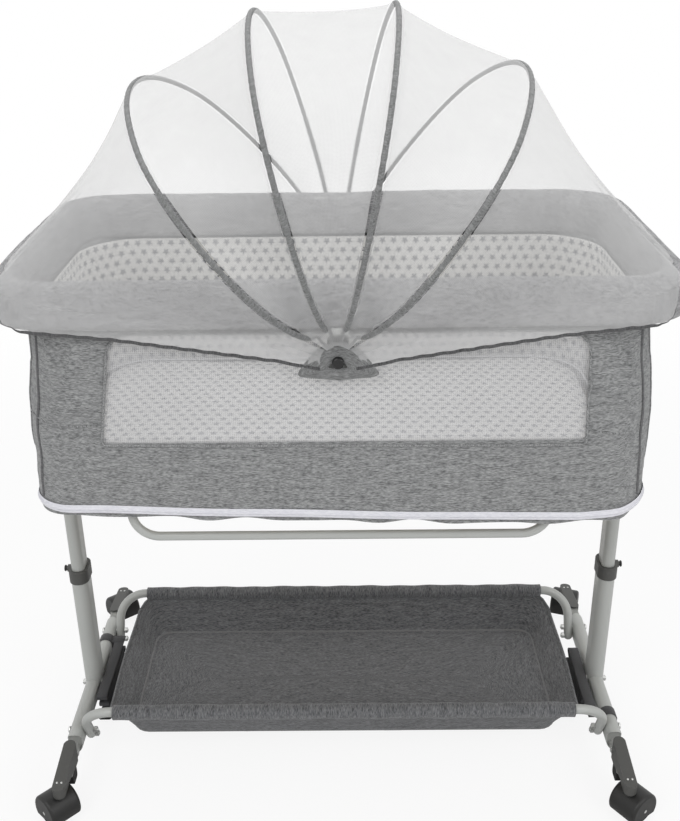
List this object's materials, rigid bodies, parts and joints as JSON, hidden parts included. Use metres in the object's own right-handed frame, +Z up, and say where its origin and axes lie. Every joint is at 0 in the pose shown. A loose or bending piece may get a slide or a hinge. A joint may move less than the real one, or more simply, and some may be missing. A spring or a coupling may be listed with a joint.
{
  "type": "bedside sleeper crib",
  "caption": "Bedside sleeper crib with a padded fabric bassinet, mesh side, folding net canopy, height-adjustable legs on casters and a storage basket.",
  "frame": {"origin": "on the floor under the middle of the crib", "axes": "+X along the crib to the right as seen from the front, -Y towards the front with the mesh window, +Z up"},
  "size_m": [0.996, 0.722, 1.2097],
  "materials": {
    "painted_tube": "light warm grey powder coat, semi-gloss",
    "cradle_tube": "light grey powder coat, semi-gloss",
    "dark_plastic": "fine moulded texture",
    "black_plastic": "moulded, slightly shiny",
    "black_rubber": "matt",
    "grey_cap": "moulded grey plastic",
    "zinc_steel": "bright zinc plated",
    "webbing": "woven dark grey webbing",
    "basket_cloth": "grey melange polyester",
    "rim_cloth": "padded light grey melange cloth",
    "body_cloth": "grey melange cloth",
    "white_mesh": "white knitted mesh",
    "white_cloth": "white cotton with small grey stars",
    "board": "pressed board",
    "zip_white": "white zip tape",
    "zip_dark": "grey zip tape",
    "bow_binding": "grey cloth binding over a steel rod",
    "net": "sheer white net",
    "gloss_black": "polished"
  },
  "bodies": {
    "stand": {"foot_tube_left": "painted_tube", "foot_tube_right": "painted_tube", "outer_leg_left": "painted_tube", "outer_leg_right": "painted_tube", "leg_collar_left": "dark_plastic", "leg_collar_right": "dark_plastic", "basket_tube_front": "painted_tube", "basket_tube_rear": "painted_tube", "frame_bolts": "zinc_steel", "frame_nuts": "zinc_steel", "foot_caps": "grey_cap", "foot_pads": "black_rubber", "arm_pins": "zinc_steel", "strap_left": "webbing", "strap_right": "webbing", "strap_buckles": "black_plastic", "storage_basket": "basket_cloth"},
    "button_left": {"height_button_left": "black_plastic"},
    "button_right": {"height_button_right": "black_plastic"},
    "cradle": {"inner_leg_left": "cradle_tube", "inner_leg_right": "cradle_tube", "inner_leg_glides": "black_plastic", "top_rail": "cradle_tube", "rail_cover": "rim_cloth", "side_fabric": "body_cloth", "mesh_window": "white_mesh", "liner": "white_cloth", "base_board": "board", "mattress": "white_cloth", "zip_tape": "zip_white", "drop_side_zips": "zip_dark", "support_hoop": "cradle_tube", "hub_brackets": "zinc_steel", "hub_knobs": "gloss_black", "hub_patches": "body_cloth", "net_end_left": "net"},
    "bow_1": {"net_bow_1": "bow_binding", "net_gore_12": "net"},
    "bow_2": {"net_bow_2": "bow_binding", "net_gore_23": "net"},
    "bow_3": {"net_bow_3": "bow_binding", "net_gore_34": "net"},
    "bow_4": {"net_bow_4": "bow_binding", "net_end_right": "net"},
    "arm_front_left": {"caster_arm_front_left": "dark_plastic"},
    "caster_front_left": {"caster_hood_front_left": "black_plastic", "caster_axle_front_left": "zinc_steel"},
    "wheels_front_left": {"caster_wheels_front_left": "black_plastic"},
    "arm_front_right": {"caster_arm_front_right": "dark_plastic"},
    "caster_front_right": {"caster_hood_front_right": "black_plastic", "caster_axle_front_right": "zinc_steel"},
    "wheels_front_right": {"caster_wheels_front_right": "black_plastic"},
    "arm_rear_left": {"caster_arm_rear_left": "dark_plastic"},
    "caster_rear_left": {"caster_hood_rear_left": "black_plastic", "caster_axle_rear_left": "zinc_steel"},
    "wheels_rear_left": {"caster_wheels_rear_left": "black_plastic"},
    "arm_rear_right": {"caster_arm_rear_right": "dark_plastic"},
    "caster_rear_right": {"caster_hood_rear_right": "black_plastic", "caster_axle_rear_right": "zinc_steel"},
    "wheels_rear_right": {"caster_wheels_rear_right": "black_plastic"}
  },
  "joints": [
    {"name": "height", "type": "slide", "parent": "stand", "child": "cradle", "axis": [0, 0, 1], "range_m": [-0.108, 0]},
    {"name": "height_button_left", "type": "slide", "parent": "stand", "child": "button_left", "axis": [1, 0, 0], "range_m": [0, 0.0025], "stiffness_N_per_m": 600, "springref_m": -0.001},
    {"name": "height_button_right", "type": "slide", "parent": "stand", "child": "button_right", "axis": [-1, 0, 0], "range_m": [0, 0.0025], "stiffness_N_per_m": 600, "springref_m": -0.001},
    {"name": "arm_fold_front_left", "type": "hinge", "parent": "stand", "child": "arm_front_left", "pos_m": [-0.452, -0.185, 0.063], "axis": [-1, 0, 0], "range_deg": [0, 90]},
    {"name": "swivel_front_left", "type": "hinge", "parent": "arm_front_left", "child": "caster_front_left", "pos_m": [-0.452, -0.268, 0.055], "axis": [0, 0, 1], "continuous": true},
    {"name": "wheel_spin_front_left", "type": "hinge", "parent": "caster_front_left", "child": "wheels_front_left", "pos_m": [-0.46063, -0.25966, 0.025], "axis": [-0.6947, -0.7193, 0], "continuous": true},
    {"name": "arm_fold_front_right", "type": "hinge", "parent": "stand", "child": "arm_front_right", "pos_m": [0.452, -0.185, 0.063], "axis": [-1, 0, 0], "range_deg": [0, 90]},
    {"name": "swivel_front_right", "type": "hinge", "parent": "arm_front_right", "child": "caster_front_right", "pos_m": [0.452, -0.268, 0.055], "axis": [0, 0, 1], "continuous": true},
    {"name": "wheel_spin_front_right", "type": "hinge", "parent": "caster_front_right", "child": "wheels_front_right", "pos_m": [0.46171, -0.26095, 0.025], "axis": [-0.5878, 0.809, 0], "continuous": true},
    {"name": "arm_fold_rear_left", "type": "hinge", "parent": "stand", "child": "arm_rear_left", "pos_m": [-0.452, 0.185, 0.063], "axis": [1, 0, 0], "range_deg": [0, 90]},
    {"name": "swivel_rear_left", "type": "hinge", "parent": "arm_rear_left", "child": "caster_rear_left", "pos_m": [-0.452, 0.268, 0.055], "axis": [0, 0, 1], "continuous": true},
    {"name": "wheel_spin_rear_left", "type": "hinge", "parent": "caster_rear_left", "child": "wheels_rear_left", "pos_m": [-0.45955, 0.27733, 0.025], "axis": [-0.7771, -0.6293, 0], "continuous": true},
    {"name": "arm_fold_rear_right", "type": "hinge", "parent": "stand", "child": "arm_rear_right", "pos_m": [0.452, 0.185, 0.063], "axis": [1, 0, 0], "range_deg": [0, 90]},
    {"name": "swivel_rear_right", "type": "hinge", "parent": "arm_rear_right", "child": "caster_rear_right", "pos_m": [0.452, 0.268, 0.055], "axis": [0, 0, 1], "continuous": true},
    {"name": "wheel_spin_rear_right", "type": "hinge", "parent": "caster_rear_right", "child": "wheels_rear_right", "pos_m": [0.45591, 0.27935, 0.025], "axis": [-0.9455, 0.3256, 0], "continuous": true},
    {"name": "canopy_bow_1", "type": "hinge", "parent": "cradle", "child": "bow_1", "pos_m": [0, 0, 0.79], "axis": [0, 1, 0], "range_deg": [-25, 0], "deforming": ["net_end_left"]},
    {"name": "canopy_bow_2", "type": "hinge", "parent": "bow_1", "child": "bow_2", "pos_m": [0, 0, 0.79], "axis": [0, 1, 0], "range_deg": [-17.8, 0], "deforming": ["net_gore_12"]},
    {"name": "canopy_bow_3", "type": "hinge", "parent": "bow_2", "child": "bow_3", "pos_m": [0, 0, 0.79], "axis": [0, 1, 0], "range_deg": [-18.9, 0], "deforming": ["net_gore_23"]},
    {"name": "canopy_bow_4", "type": "hinge", "parent": "bow_3", "child": "bow_4", "pos_m": [0, 0, 0.79], "axis": [0, 1, 0], "range_deg": [-18.7, 0], "deforming": ["net_gore_34", "net_end_right"]}
  ]
}
